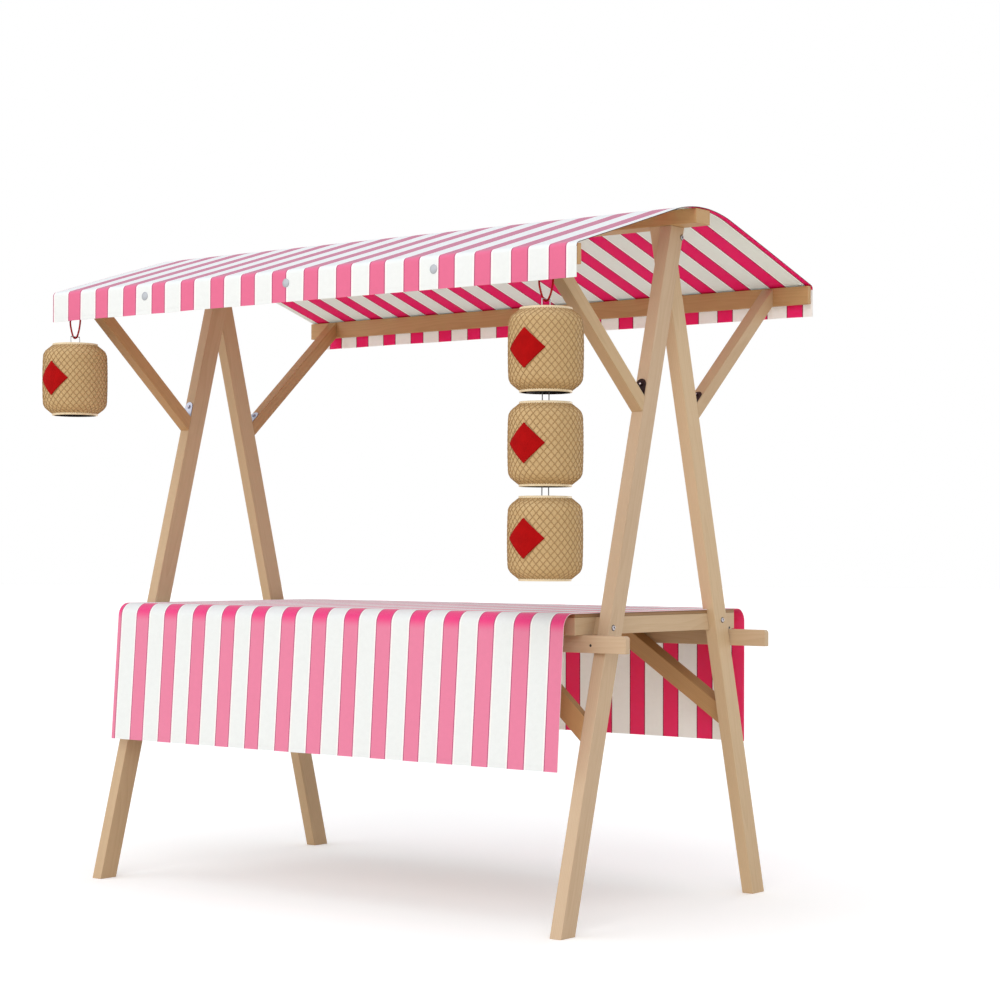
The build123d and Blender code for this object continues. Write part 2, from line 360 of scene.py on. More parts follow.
# %% [markdown]
# Softwood. A board is a slice through a tree, so its figure is a slice through nested rings:
# here the rings are real cylinders round a pith that lies a few centimetres outside the board,
# bent by slow noise along the length. Faces show long lines and ends show arcs, with no extra
# work. Fine fibres and a slow change of tone lie over that. All boards share the effect, so it is
# a group of nodes with named inputs.

# %% the softwood effect
RINGS_PER_METRE = 210.0
BEND_SCALE, BEND_REACH = (1.3, 7.0, 7.0), 0.035
FIBRE_SCALE, TONE_SCALE = (16.0, 520.0, 520.0), (0.8, 9.0, 9.0)
LATE_GROWTH, RING_END = 2.2, 9.0
RING_SHARE, FIBRE_SHARE, TONE_SHARE, PALER = 0.20, 0.34, 0.46, 0.12


def effect(name, inputs, outputs):
    """A group of nodes. Its inputs and outputs are named, each with the kind of its socket."""
    group = bpy.data.node_groups.new(name, "ShaderNodeTree")
    for sockets, way in ((inputs, "INPUT"), (outputs, "OUTPUT")):
        for label, kind in sockets.items():
            group.interface.new_socket(name=label, in_out=way, socket_type="NodeSocket" + kind)
    return group, group.nodes.new("NodeGroupInput").outputs, group.nodes.new("NodeGroupOutput")


softwood, given, out = effect(
    "softwood",
    {"Board": "Vector", "Pale": "Color", "Brown": "Color"},
    {"Color": "Color", "Roughness": "Float", "Height": "Float"},
)
slow = add(softwood, "Mapping", {"Vector": given["Board"], "Scale": BEND_SCALE}).outputs[0]
bend = add(softwood, "TexNoise", {"Vector": slow, "Scale": 1.0, "Detail": 2.0}).outputs[1]
bend = add(softwood, "VectorMath", {0: bend, 1: (-0.5, -0.5, -0.5)}, operation="ADD").outputs[0]
bend = add(softwood, "VectorMath", {0: bend, "Scale": BEND_REACH}, operation="SCALE").outputs[0]
bent = add(softwood, "VectorMath", {0: given["Board"], 1: bend}, operation="ADD").outputs[0]
across = add(softwood, "VectorMath", {0: bent, 1: (0, 1, 1)}, operation="MULTIPLY").outputs[0]
radius = add(softwood, "VectorMath", {0: across}, operation="LENGTH").outputs["Value"]
year = reckon(softwood, "FRACT", reckon(softwood, "MULTIPLY", radius, RINGS_PER_METRE))
fall = reckon(softwood, "MULTIPLY", reckon(softwood, "SUBTRACT", 1.0, year), RING_END)
ring = reckon(softwood, "POWER", year, LATE_GROWTH)
ring = reckon(softwood, "MULTIPLY", ring, reckon(softwood, "MINIMUM", fall, 1.0))
fibre = streaks(softwood, given["Board"], FIBRE_SCALE, 3.0)
tone = streaks(softwood, given["Board"], TONE_SCALE, 1.0)
share = reckon(softwood, "MULTIPLY", ring, RING_SHARE)
share = reckon(softwood, "MULTIPLY_ADD", fibre, FIBRE_SHARE, share)
share = reckon(softwood, "MULTIPLY_ADD", tone, TONE_SHARE, share)
share = add(softwood, "Clamp", {0: reckon(softwood, "SUBTRACT", share, PALER)}).outputs[0]
colour = blend(softwood, share, given["Pale"], given["Brown"])
roughness = reckon(softwood, "MULTIPLY_ADD", fibre, 0.2, 0.46)
height = reckon(softwood, "MULTIPLY_ADD", ring, -0.5, fibre)
fill(softwood, out, {"Color": colour, "Roughness": roughness, "Height": height})
print("softwood effect,", len(softwood.nodes), "nodes")

# %% [markdown]
# Each board has its own place in its own tree, so no two look alike. Its material slides and
# turns the pattern so that its length runs with the board's length. The direction comes from how
# the piece stands: legs lean, struts rise, rails lie level.

# %% which way each board runs
LEAN = math.radians(14.8)
RISE = math.radians(41.36)
BRACE = math.radians(38)
directions = {}
for end, out_x in (("left", -1), ("right", 1)):
    for side, out_y in (("front", -1), ("rear", 1)):
        up = Vector((0, -out_y * math.sin(LEAN), math.cos(LEAN)))
        inward = Vector((-out_x, 0, 0))
        directions[f"{end}_{side}_leg"] = up
        directions[f"{end}_{side}_eave_strut"] = (0, out_y * math.cos(RISE), math.sin(RISE))
        directions[f"{end}_{side}_knee_brace"] = inward * math.cos(BRACE) + up * math.sin(BRACE)
    directions[f"{end}_end_rail"] = (0, 1, 0)
    directions[f"{end}_packing_block"] = (0, 1, 0)
for name in ("front_eave_rail", "rear_eave_rail", "front_bearer", "rear_bearer", "ridge_beam"):
    directions[name] = (1, 0, 0)
for name in ("front_counter_rail", "rear_counter_rail", "counter_board"):
    directions[name] = (1, 0, 0)
directions["middle_joist"] = (0, 1, 0)
print("boards", len(directions))

# %% [markdown]
# The right legs and the bearers are pale sapwood. The other boards get warmer and browner tints by
# how deep in shade they stand, which is painted shade: the left legs and the right struts a little
# warmer, the ridge and the eave rails under the canopy browner, the braces, the joist, the side
# rails and the left struts browner still, and the counter's thin board, in the shadow of the
# cloth's edge, darkest. Within its kind, each board is a little warmer or cooler.

# %% a board's own material
# Boards in shade get darker, browner tints, which paint the shade into the wood.
SAPWOOD = ((213, 188, 156), (179, 147, 111))
WARM_SAPWOOD_PAINTED_SHADE = ((207, 180, 142), (174, 140, 98))
RAIL_WOOD_PAINTED_SHADE = ((201, 163, 115), (159, 115, 67))
BROWN_WOOD_PAINTED_SHADE = ((196, 154, 104), (150, 107, 62))
BOARD_PAINTED_SHADOW = ((160, 124, 82), (122, 88, 52))
STRUTS_IN_PAINTED_SHADE = ("left_front_eave_strut", "left_rear_eave_strut")
PITH_REACH = ((-3, 3), (-0.02, 0.04), (0.04, 0.09))
chance = random.Random(7)


def wood_of(name):
    """The pale and the brown tint of a board, darker where the board stands in shade: painted
    shade.
    """
    if name == "counter_board":
        return BOARD_PAINTED_SHADOW
    if name.endswith(("joist", "knee_brace", "counter_rail")) or name in STRUTS_IN_PAINTED_SHADE:
        return BROWN_WOOD_PAINTED_SHADE
    if name.endswith("eave_strut") or name.startswith("left") and name.endswith("leg"):
        return WARM_SAPWOOD_PAINTED_SHADE
    return RAIL_WOOD_PAINTED_SHADE if name.endswith(("eave_rail", "ridge_beam")) else SAPWOOD


def board_finish(node, along):
    low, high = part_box(node)
    turn = Vector(along).to_track_quat("X", "Y").to_euler()
    pith = Vector([chance.uniform(*reach) for reach in PITH_REACH])
    warm = chance.uniform(-4, 4)
    pale, brown = [tint(red + warm, green + warm, blue) for red, green, blue in wood_of(node)]
    material, tree, skin = bare("softwood " + node.replace("_", " "))
    values = {"Vector": on_piece(tree), "Location": (low + high) / 2, "Rotation": turn}
    laid = add(tree, "Mapping", values, vector_type="TEXTURE").outputs[0]
    slid = add(tree, "VectorMath", {0: laid, 1: pith}, operation="ADD").outputs[0]
    wood = add(tree, "Group", node_tree=softwood)
    fill(tree, wood, {"Board": slid, "Pale": pale, "Brown": brown})
    normal = relief(tree, wood.outputs["Height"], 0.0004, 0.5)
    sockets = {"Base Color": wood.outputs["Color"], "Roughness": wood.outputs["Roughness"]}
    fill(tree, skin, {**sockets, "Normal": normal})
    return material


board_finishes = {name: board_finish(name, along) for name, along in directions.items()}
print("softwood materials", len(board_finishes))

# %% [markdown]
# A board from the plane has eased edges that catch a thin line of light. A Bevel modifier could
# round them, but the measured mesh is loose triangles, which it can't join. So the board is
# copied, its loose corners are merged, the flat faces become one face each, and the edges that
# are left get a small round bevel. The bearers' upper corners are rounded first, as on the stall.

# %% ease the edges of the boards
EASED, BEARER_CORNER = 0.0016, 0.009


def bevelled(bm, edges, offset, segments):
    bmesh.ops.bevel(
        bm,
        geom=edges,
        offset=offset,
        segments=segments,
        profile=0.5,
        affect="EDGES",
        material=-1,
    )


def round_ends(bm, corner):
    """Round the upper corner at both ends of a board that lies along X."""
    reach = [min(v.co.x for v in bm.verts), max(v.co.x for v in bm.verts)]
    top = max(v.co.z for v in bm.verts)

    def at_corner(v):
        return v.co.z > top - 1e-4 and min(abs(v.co.x - x) for x in reach) < 1e-4

    ends = [e for e in bm.edges if all(map(at_corner, e.verts)) and e.calc_length() < 0.1]
    bevelled(bm, ends, corner, 6)


def eased(node, radius, finish, corner=0.0):
    bm = bmesh.new()
    bm.from_mesh(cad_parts[node].data)
    bmesh.ops.remove_doubles(bm, verts=bm.verts, dist=1e-5)
    bmesh.ops.dissolve_limit(bm, angle_limit=math.radians(1), verts=bm.verts, edges=bm.edges)
    if corner:
        round_ends(bm, corner)
    sharp = [e for e in bm.edges if e.is_manifold and e.calc_face_angle() > math.radians(20)]
    bevelled(bm, sharp, radius, 2)
    piece = piece_from(bm, node + "_eased", finish, smooth=False)
    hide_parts(node)
    return len(piece.data.polygons)


faces = 0
for name, finish in board_finishes.items():
    corner = BEARER_CORNER if name.endswith("bearer") else 0.0
    faces += eased(name, EASED, finish, corner)
print("boards eased,", faces, "faces")

# %% [markdown]
# Striped cloth. The stripes are woven across the whole width, so one number along the stall
# decides the colour: the stripe, a darker line of thread just inside each border, a light one just
# outside it, and white between. The group works out how far a point is from the border of the
# nearest stripe. The canopy and the table cloth give it their own first stripe and period.

# %% the stripe effect
LIGHT_LINE = 1.6
stripes, given, out = effect(
    "woven stripes",
    dict.fromkeys(("Along", "Period", "First", "Width", "Line"), "Float"),
    dict.fromkeys(("Stripe", "Border", "Light Line"), "Float"),
)
shift = reckon(stripes, "SUBTRACT", given["Along"], given["First"])
turns = reckon(stripes, "DIVIDE", shift, given["Period"])
off = reckon(stripes, "SUBTRACT", turns, reckon(stripes, "ROUND", turns))
away = reckon(stripes, "MULTIPLY", reckon(stripes, "ABSOLUTE", off), given["Period"])
rim = reckon(stripes, "SUBTRACT", away, reckon(stripes, "MULTIPLY", given["Width"], 0.5))
within = reckon(stripes, "LESS_THAN", rim, 0.0)
beyond = reckon(stripes, "GREATER_THAN", rim, 0.0)
line_in = reckon(stripes, "MULTIPLY", given["Line"], -1.0)
line_out = reckon(stripes, "MULTIPLY", given["Line"], LIGHT_LINE)
dark = reckon(stripes, "MULTIPLY", reckon(stripes, "GREATER_THAN", rim, line_in), within)
light = reckon(stripes, "MULTIPLY", reckon(stripes, "LESS_THAN", rim, line_out), beyond)
fill(stripes, out, {"Stripe": within, "Border": dark, "Light Line": light})
print("stripe effect,", len(stripes.nodes), "nodes")

# %% [markdown]
# Canvas is a plain weave: each thread goes over one and under the next. Two sine waves multiplied
# give that chequer of bumps, in metres along the cloth, which the UV map carries round the bends.
# Noise adds the slubs, the thick places in the yarn.

# %% the plain weave effect
weave, given, out = effect(
    "plain weave",
    {"Cloth": "Vector", "Thread": "Float"},
    {"Height": "Float", "Tone": "Float"},
)
count = reckon(weave, "DIVIDE", math.pi, given["Thread"])
threads = add(weave, "SeparateXYZ", {0: given["Cloth"]})
warp = reckon(weave, "SINE", reckon(weave, "MULTIPLY", threads.outputs["X"], count))
weft = reckon(weave, "SINE", reckon(weave, "MULTIPLY", threads.outputs["Y"], count))
over = reckon(weave, "MULTIPLY_ADD", reckon(weave, "MULTIPLY", warp, weft), 0.5, 0.5)
yarn = {"Vector": given["Cloth"], "Scale": 60.0, "Detail": 4.0, "Roughness": 0.7}
slub = add(weave, "TexNoise", yarn).outputs[0]
fill(weave, out, {"Height": over, "Tone": slub})
print("weave effect,", len(weave.nodes), "nodes")

# %% [markdown]
# A hem is the cloth's edge folded over once and sewn down. Modelling the fold would need
# thousands of faces for a step of half a millimetre, so it is a part of the relief: a raised band
# along the whole edge, and near its inner side a row of dashes that dip where the thread pulls.

# %% the hem's relief
HEM_WIDTH, FOLD_HEIGHT = 0.014, 0.55
SEAM, SEAM_WIDTH, STITCH, STITCH_DIP = 0.0115, 0.0006, 0.0035, -0.5


def hem_height(tree, cloth, half_long, whole, height):
    """The cloth's height with its hem, for a cloth 2 half_long by whole, in metres."""
    at = add(tree, "SeparateXYZ", {0: cloth})
    along, down = at.outputs["X"], at.outputs["Y"]
    end = reckon(tree, "SUBTRACT", half_long, reckon(tree, "ABSOLUTE", along))
    drop = reckon(tree, "MINIMUM", down, reckon(tree, "SUBTRACT", whole, down))
    rim = reckon(tree, "MINIMUM", end, drop)
    fold = reckon(tree, "LESS_THAN", rim, HEM_WIDTH)
    row = reckon(tree, "COMPARE", rim, SEAM, SEAM_WIDTH)
    walk = reckon(tree, "MULTIPLY", reckon(tree, "ADD", along, down), 2 * math.pi / STITCH)
    dash = reckon(tree, "GREATER_THAN", reckon(tree, "SINE", walk), -0.3)
    height = reckon(tree, "MULTIPLY_ADD", fold, FOLD_HEIGHT, height)
    return reckon(tree, "MULTIPLY_ADD", reckon(tree, "MULTIPLY", row, dash), STITCH_DIP, height)


print("stitches to the metre", round(1 / STITCH))

# %% [markdown]
# One function dresses a cloth. It reads the stripe from the object's length, the weave and the hem
# from the UV map, and mixes the dyes that it is given. Where the cloth turns to another light, on
# the canopy's slopes and round the counter's edge, its stripes are painted another pink: painted
# light, which stands for the light that falls there. Thin cloth also glows when the light is
# behind it. That could be a second, translucent shader, but the Principled one has Subsurface of
# its own, with a scale of a few millimetres, more than the cloth is thick. Only the inner faces
# have it.

# %% a striped cloth's material
THREAD = 0.0009
WEAVE_SHARE, WEAVE_DEPTH, WEAVE_STRENGTH = 0.25, 0.0010, 0.6
SLUB_TONE = {"To Min": 0.94, "To Max": 1.03}


def painted_light_pink(tree, place, pink, dye, heights, depths):
    """The stripe's pink, and another dye above a height where |y| is past a depth: painted light.
    """
    values = {"Value": place.outputs["Z"], "From Min": heights[0], "From Max": heights[1]}
    lift = add(tree, "MapRange", values, interpolation_type="SMOOTHSTEP").outputs[0]
    deep = reckon(tree, "ABSOLUTE", place.outputs["Y"])
    values = {"Value": deep, "From Min": depths[0], "From Max": depths[1]}
    share = reckon(tree, "MULTIPLY", lift, add(tree, "MapRange", values).outputs[0])
    return blend(tree, share, pink, tint(*dye))


def striped(name, layout, dyes, size, sheen, painted_light_dye=None, through=0.0):
    """The dyes are the white, the stripe, its dark line and the light line beside it."""
    material, tree, skin = bare(name)
    place = add(tree, "SeparateXYZ", {0: on_piece(tree)})
    cloth = add(tree, "UVMap", uv_map="cloth").outputs[0]
    woven = add(tree, "Group", node_tree=weave)
    fill(tree, woven, {"Cloth": cloth, "Thread": THREAD})
    mask = add(tree, "Group", node_tree=stripes)
    fill(tree, mask, {"Along": place.outputs["X"], **layout})
    colour, pink, dark_line, light_line = [tint(*dye) for dye in dyes]
    if painted_light_dye:
        pink = painted_light_pink(tree, place, pink, *painted_light_dye)
    for label, dye in (("Stripe", pink), ("Border", dark_line), ("Light Line", light_line)):
        colour = blend(tree, mask.outputs[label], colour, dye)
    shade = add(tree, "MapRange", {"Value": woven.outputs["Tone"], **SLUB_TONE}).outputs[0]
    colour = add(tree, "VectorMath", {0: colour, "Scale": shade}, operation="SCALE").outputs[0]
    height = reckon(tree, "MULTIPLY", woven.outputs["Height"], WEAVE_SHARE)
    height = hem_height(tree, cloth, *size, height)
    sockets = {
        "Base Color": colour,
        "Roughness": 0.82,
        "Specular IOR Level": 0.1 if through else 0.2,
        "Sheen Weight": sheen,
        "Subsurface Weight": through,
        "Subsurface Radius": (1, 1, 1),
        "Subsurface Scale": 0.004,
        "Normal": relief(tree, height, WEAVE_DEPTH, WEAVE_STRENGTH),
    }
    fill(tree, skin, sockets)
    return material


print("threads to the centimetre", round(0.01 / THREAD))

# %% [markdown]
# A cloth laid over a ridge or a counter hangs in flat runs with a soft bend at each corner. A
# cloth simulation could drape it, but it wanders from the measured shape. So a sheet starts as a
# section of a few points. Spinning that line straight along the stall gives the sheet, bevels
# turn its corners into soft bends, and extra cuts leave the cloth room for ripples.

# %% a sheet from its section
CLOTH_GRID = 0.022


def laid_cloth(section, half_length, columns, bends):
    bm = bmesh.new()
    line = [bm.verts.new((-half_length, y, z)) for y, z in section]
    edges = [bm.edges.new(pair) for pair in zip(line, line[1:])]
    bmesh.ops.spin(
        bm,
        geom=line + edges,
        cent=(0, 0, 0),
        axis=(1, 0, 0),
        dvec=Vector((2 * half_length / columns, 0, 0)),
        angle=0,
        steps=columns,
        use_merge=False,
    )
    for corner, reach in bends:
        corner = Vector(corner)
        fold = [e for e in bm.edges if all((v.co.yz - corner).length < 1e-5 for v in e.verts)]
        bevelled(bm, fold, reach, 8)
    for length in sorted({round(e.calc_length(), 4) for e in bm.edges}, reverse=True):
        across = [
            e
            for e in bm.edges
            if abs(e.verts[0].co.x - e.verts[1].co.x) < 1e-6
            and abs(e.calc_length() - length) < 1e-4
        ]
        if across and length > CLOTH_GRID:
            cuts = int(length / CLOTH_GRID)
            bmesh.ops.subdivide_edges(bm, edges=across, cuts=cuts, use_grid_fill=True)
    bmesh.ops.recalc_face_normals(bm, faces=bm.faces)
    if sum(f.normal.z * f.calc_area() for f in bm.faces) < 0:
        bmesh.ops.reverse_faces(bm, faces=bm.faces)
    return bm


print("the cloth is cut every", CLOTH_GRID, "m across its width")

# %% [markdown]
# The weave and the hem follow the threads, so the sheet needs to know how far along its section
# each corner lies. Blender could unwrap the sheet, but its scale would then be free. Here the UV
# map is in metres, measured along the section. The edges all round are marked sharp, so that the
# thin rim that Solidify adds later doesn't spoil the shading of the broad faces.

# %% lay the threads
def limited(share):
    return min(1.0, max(0.0, share))


def run_along(section, y, z):
    """How far along the section's line the point nearest to (y, z) lies, and its whole length."""
    best, walked = None, 0.0
    for a, b in zip(section, section[1:]):
        a, b = Vector(a), Vector(b)
        share = limited((Vector((y, z)) - a).dot(b - a) / (b - a).length_squared)
        miss = (Vector((y, z)) - a.lerp(b, share)).length
        if best is None or miss < best[0]:
            best = (miss, walked + share * (b - a).length)
        walked += (b - a).length
    return best[1], walked


def lay_threads(bm, section):
    """The UV map in metres: along the stall, and along the section from the front hem."""
    for edge in bm.edges:
        edge.smooth = not edge.is_boundary
    layer = bm.loops.layers.uv.new("cloth")
    along = {v: run_along(section, v.co.y, v.co.z)[0] for v in bm.verts}
    for face in bm.faces:
        for loop in face.loops:
            loop[layer].uv = (loop.vert.co.x, along[loop.vert])
    return run_along(section, 0, 0)[1]


print("threads are laid in metres, from the front hem")

# %% [markdown]
# The canopy is one length of cloth laid over the ridge and pulled down over both eaves. Its
# section is a hem, an eave, the two corners of the crown over the ridge beam, an eave and a hem.
# Two sheets that meet at the ridge would do too, but the cloth has no seam there.

# %% the canopy's sheet
CANOPY_HALF = 1.015
EAVE_Y, EAVE_Z, EAVE_BEND = 0.610, 1.8356, 0.0097
CROWN_Y, CROWN_Z, CROWN_BEND = 0.077, 1.9987, 0.0645
HEM_Z = 1.745
canopy_section = [
    (-EAVE_Y, HEM_Z),
    (-EAVE_Y, EAVE_Z),
    (-CROWN_Y, CROWN_Z),
    (CROWN_Y, CROWN_Z),
    (EAVE_Y, EAVE_Z),
    (EAVE_Y, HEM_Z),
]
bends = []
for side in (-1, 1):
    bends.append(((side * EAVE_Y, EAVE_Z), EAVE_BEND))
    bends.append(((side * CROWN_Y, CROWN_Z), CROWN_BEND))
canopy_sheet = laid_cloth(canopy_section, CANOPY_HALF, 116, bends)
canopy_run = lay_threads(canopy_sheet, canopy_section)
print("canopy", round(canopy_run, 3), "m over the section,", len(canopy_sheet.faces), "faces")

# %% [markdown]
# Stretched cloth still breathes: slow ripples on the slopes, which die away at the eaves and at
# the ridge, and a faint wave in the hanging edges, which grows towards the hem. Noise moves the
# corners of the mesh by two or three millimetres, well within the room that the cloth has.

# %% the canopy's ripples
SLOPE_RIPPLE, HEM_FLUTTER, HEM_WAVE = 0.0022, 0.0030, 0.0012
for v in canopy_sheet.verts:
    drop = max(0.0, EAVE_Z - 0.01 - v.co.z) / (EAVE_Z - HEM_Z)
    slope = math.sin(math.pi * limited((abs(v.co.y) - 0.08) / 0.52))
    v.co.z += SLOPE_RIPPLE * slope * noise.noise(Vector((v.co.x * 3.1, v.co.y * 1.4, 4.2)))
    flutter = noise.noise(Vector((v.co.x * 5.3, math.copysign(3.0, v.co.y), 0.7)))
    v.co.y += math.copysign(HEM_FLUTTER * drop * flutter, v.co.y)
    v.co.z += HEM_WAVE * drop * noise.noise(Vector((v.co.x * 9.0, v.co.y, 8.0)))
heights = [v.co.z for v in canopy_sheet.verts]
print("canopy from", round(min(heights), 4), "to", round(max(heights), 4), "m")

# %% [markdown]
# The canopy's outer cloth is white and a soft pink. On the slopes, which the eye meets at a flat
# angle, its pink is painted greyer: a painted sheen. Under the slopes there is a lining with the
# stronger dye of a printed back, its crimson deepened partly as painted shade, and its stripes
# don't meet the outer ones. The hanging edges are the outer cloth itself, seen from behind; their
# inner face is painted whiter than the outer face, a painted light for their shaded inside. The
# slopes' cut ends are painted near black, a painted shadow of the gap between the cloth and the
# beam.

# %% the canopy's finishes
CANOPY_STRIPES = {"First": -0.9158, "Period": 0.12462, "Width": 0.0572}
LINING_STRIPES = {"First": -0.9630, "Period": 0.1242, "Width": 0.0570}
THICK_LINE, THIN_LINE = {"Line": 0.0032}, {"Line": 0.0030}
ANY_DEPTH = (-1.0, -0.9)
INSIDE_WHITE, PLAIN_WHITE = (224, 235, 234), (255, 255, 255)
canopy_size = (CANOPY_HALF, canopy_run)
outer = striped(
    "canopy outside",
    {**CANOPY_STRIPES, **THICK_LINE},
    [(241, 246, 248), (233, 113, 153), (180, 64, 114), (255, 251, 253)],
    canopy_size,
    sheen=0.2,
    # On the slopes the pink is painted greyer: a painted sheen.
    painted_light_dye=((201, 118, 150), (1.832, 1.850), ANY_DEPTH),
)
# The lining's crimson is partly the printed back's dye and partly painted shade.
under_slopes = striped(
    "canopy inside, slopes",
    {**LINING_STRIPES, **THIN_LINE},
    [INSIDE_WHITE, (226, 12, 106), (104, 2, 40), PLAIN_WHITE],
    canopy_size,
    sheen=0.05,
    through=1.0,
)
# The inner face of the hanging edges is painted whiter than their outer face: painted light.
under_valances = striped(
    "canopy inside, valances",
    {**CANOPY_STRIPES, **THIN_LINE},
    [(254, 255, 255), (236, 46, 126), (150, 24, 76), PLAIN_WHITE],
    canopy_size,
    sheen=0.05,
    through=1.0,
)
# A near-black finish for the slopes' cut ends: a painted shadow.
painted_shadow_edge = finish_of("painted shadow edge", tint(44, 24, 12), 0.9)
print("finishes:", outer.name, under_slopes.name, under_valances.name, painted_shadow_edge.name, sep="\n ")

# %% [markdown]
# Solidify gives the sheet the thickness of canvas. It finds the finish of an inner face and of
# the rim by counting on from the outer face's slot: the slopes have slots 0, 1 and 4, and the
# valances 2, 3 and 6. Slot 5 is never shown and only keeps the count.

# %% the canopy
VALANCE_TOP = EAVE_Z - 0.009


def thicken(sheet, thickness, side, inside=0, rim=0):
    """A thickness outside (1), inside (-1) or on both sides (0) of a sheet."""
    solid = sheet.modifiers.new("thickness", "SOLIDIFY")
    solid.thickness = thickness
    solid.offset = side
    solid.material_offset = inside
    solid.material_offset_rim = rim


canopy = piece_from(canopy_sheet, "canopy_cloth", outer)
for finish in (under_slopes, outer, under_valances, painted_shadow_edge, painted_shadow_edge, outer):
    canopy.data.materials.append(finish)
for face in canopy.data.polygons:
    face.material_index = 2 if face.center.z < VALANCE_TOP else 0
thicken(canopy, 0.0018, 0.0, inside=1, rim=4)
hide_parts("canopy")
print("canopy", len(canopy.data.polygons), "faces,", len(canopy.data.materials), "slots")

# %% [markdown]
# The table cloth falls over the front and back of the counter and stops level with its ends. It
# is cut round the two legs that stand inside its width. The cuts are planes through the mesh,
# after which the small corner inside them is deleted. A boolean could cut it too, but it wants a
# closed body, and this is still an open sheet.

# %% the table cloth's sheet
COVER_HALF = 0.870
COVER_TOP, COVER_FRONT, COVER_REAR = 0.8615, -0.459, 0.462
FOOT_Y = 0.5165
NOTCH_X, NOTCH_HALF = 0.8515, 0.0353
cover_section = [
    (-0.489, 0.436),
    (COVER_FRONT, COVER_TOP),
    (COVER_REAR, COVER_TOP),
    (0.464, 0.461),
]
bends = [((COVER_FRONT, COVER_TOP), 0.0373), ((COVER_REAR, COVER_TOP), 0.0398)]
cover_sheet = laid_cloth(cover_section, COVER_HALF, 96, bends)
for end in (-1, 1):
    leg_y = end * (FOOT_Y - COVER_TOP * math.tan(LEAN))
    low, high = leg_y - NOTCH_HALF, leg_y + NOTCH_HALF
    cuts = [((end * NOTCH_X, 0, 0), (1, 0, 0))]
    cuts += [((0, y, 0), (0, 1, 0)) for y in (low, high)]
    for point, normal in cuts:
        bmesh.ops.bisect_plane(
            cover_sheet,
            geom=cover_sheet.verts[:] + cover_sheet.edges[:] + cover_sheet.faces[:],
            dist=1e-6,
            plane_co=point,
            plane_no=normal,
        )
    corner = []
    for face in cover_sheet.faces:
        middle = face.calc_center_median()
        if end * middle.x > NOTCH_X and low < middle.y < high and middle.z > 0.8:
            corner.append(face)
    bmesh.ops.delete(cover_sheet, geom=corner, context="FACES")
cover_run = lay_threads(cover_sheet, cover_section)
print("table cloth", round(cover_run, 3), "m over the section,", len(cover_sheet.faces), "faces")

# %% [markdown]
# The drops hang free, so they swing in and out a little. The wave grows from the counter's edge
# to the hem, a slow one with a small quick one on top.

# %% the table cloth's waves
DROP_START, DROP_LENGTH = 0.82, 0.38
SLOW_WAVE, QUICK_WAVE = 0.0045, 0.0012
for v in cover_sheet.verts:
    slow = noise.noise(Vector((v.co.x * 2.6, math.copysign(2.0, v.co.y), 1.9)))
    quick = noise.noise(Vector((v.co.x * 7.0, math.copysign(5.0, v.co.y), 3.3)))
    drop = limited((DROP_START - v.co.z) / DROP_LENGTH)
    v.co.y += (SLOW_WAVE * slow + QUICK_WAVE * quick) * drop
depths = [v.co.y for v in cover_sheet.verts]
print("table cloth from", round(min(depths), 4), "to", round(max(depths), 4), "m deep")

# %% [markdown]
# The table cloth is the canopy's fabric in a softer pink. Round the counter's edge its stripes are
# painted redder, a painted light for the bend where the light falls. Its inner side glows where
# the light stands behind a drop, and its inner face is painted whiter than its outer one, a
# painted light for its shaded inside. Its cut edge shows the pale yarn.

# %% the table cloth
COVER_STRIPES = {"First": -0.8832, "Period": 0.12404, "Width": 0.0575, "Line": 0.0030}
cover_size = (COVER_HALF, cover_run)
cover_outer = striped(
    "table cloth outside",
    COVER_STRIPES,
    [(237, 243, 245), (233, 131, 166), (178, 72, 118), (252, 250, 251)],
    cover_size,
    sheen=0.35,
    # Round the counter's edge the pink is painted redder: painted light.
    painted_light_dye=((240, 62, 134), (0.806, 0.842), (0.40, 0.44)),
)
# The inner white is painted whiter than the outer white: painted light.
cover_inner = striped(
    "table cloth inside",
    COVER_STRIPES,
    [(252, 254, 252), (234, 62, 124), (150, 24, 72), PLAIN_WHITE],
    cover_size,
    sheen=0.05,
    through=1.0,
)
cut_edge = finish_of("cut edge", tint(250, 238, 241), 0.9)
cover = piece_from(cover_sheet, "table_cloth_sheet", cover_outer)
cover.data.materials.append(cover_inner)
cover.data.materials.append(cut_edge)
thicken(cover, 0.0016, 0.0, inside=1, rim=2)
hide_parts("table_cloth")
print("table cloth", len(cover.data.polygons), "faces")

# %% [markdown]
# A lantern's wall is fine straw cloth on the inside and a net of split cane on the outside, with a
# round hoop of cane at each mouth. Straw has long streaks round the wall, and cane and hoop drift
# slowly from pale to brown. The wall's inner face is painted nearly black, a painted shade for the
# little light that gets in.

# %% straw and cane
def straw_colour(tree):
    place = on_piece(tree)
    thread = streaks(tree, place, (120.0, 120.0, 900.0))
    cloud = lumps(tree, place, 22.0)
    share = reckon(tree, "MULTIPLY_ADD", thread, 0.5, reckon(tree, "MULTIPLY", cloud, 0.5))
    return blend(tree, share, tint(216, 187, 140), tint(186, 153, 104))


def straw_height(tree):
    return streaks(tree, on_piece(tree), (300.0, 300.0, 1500.0))


cane_colour = drifting(160.0, 3.0, (184, 150, 102), (146, 112, 66))
hoop_colour = drifting(90.0, 3.0, (244, 230, 200), (222, 198, 156))
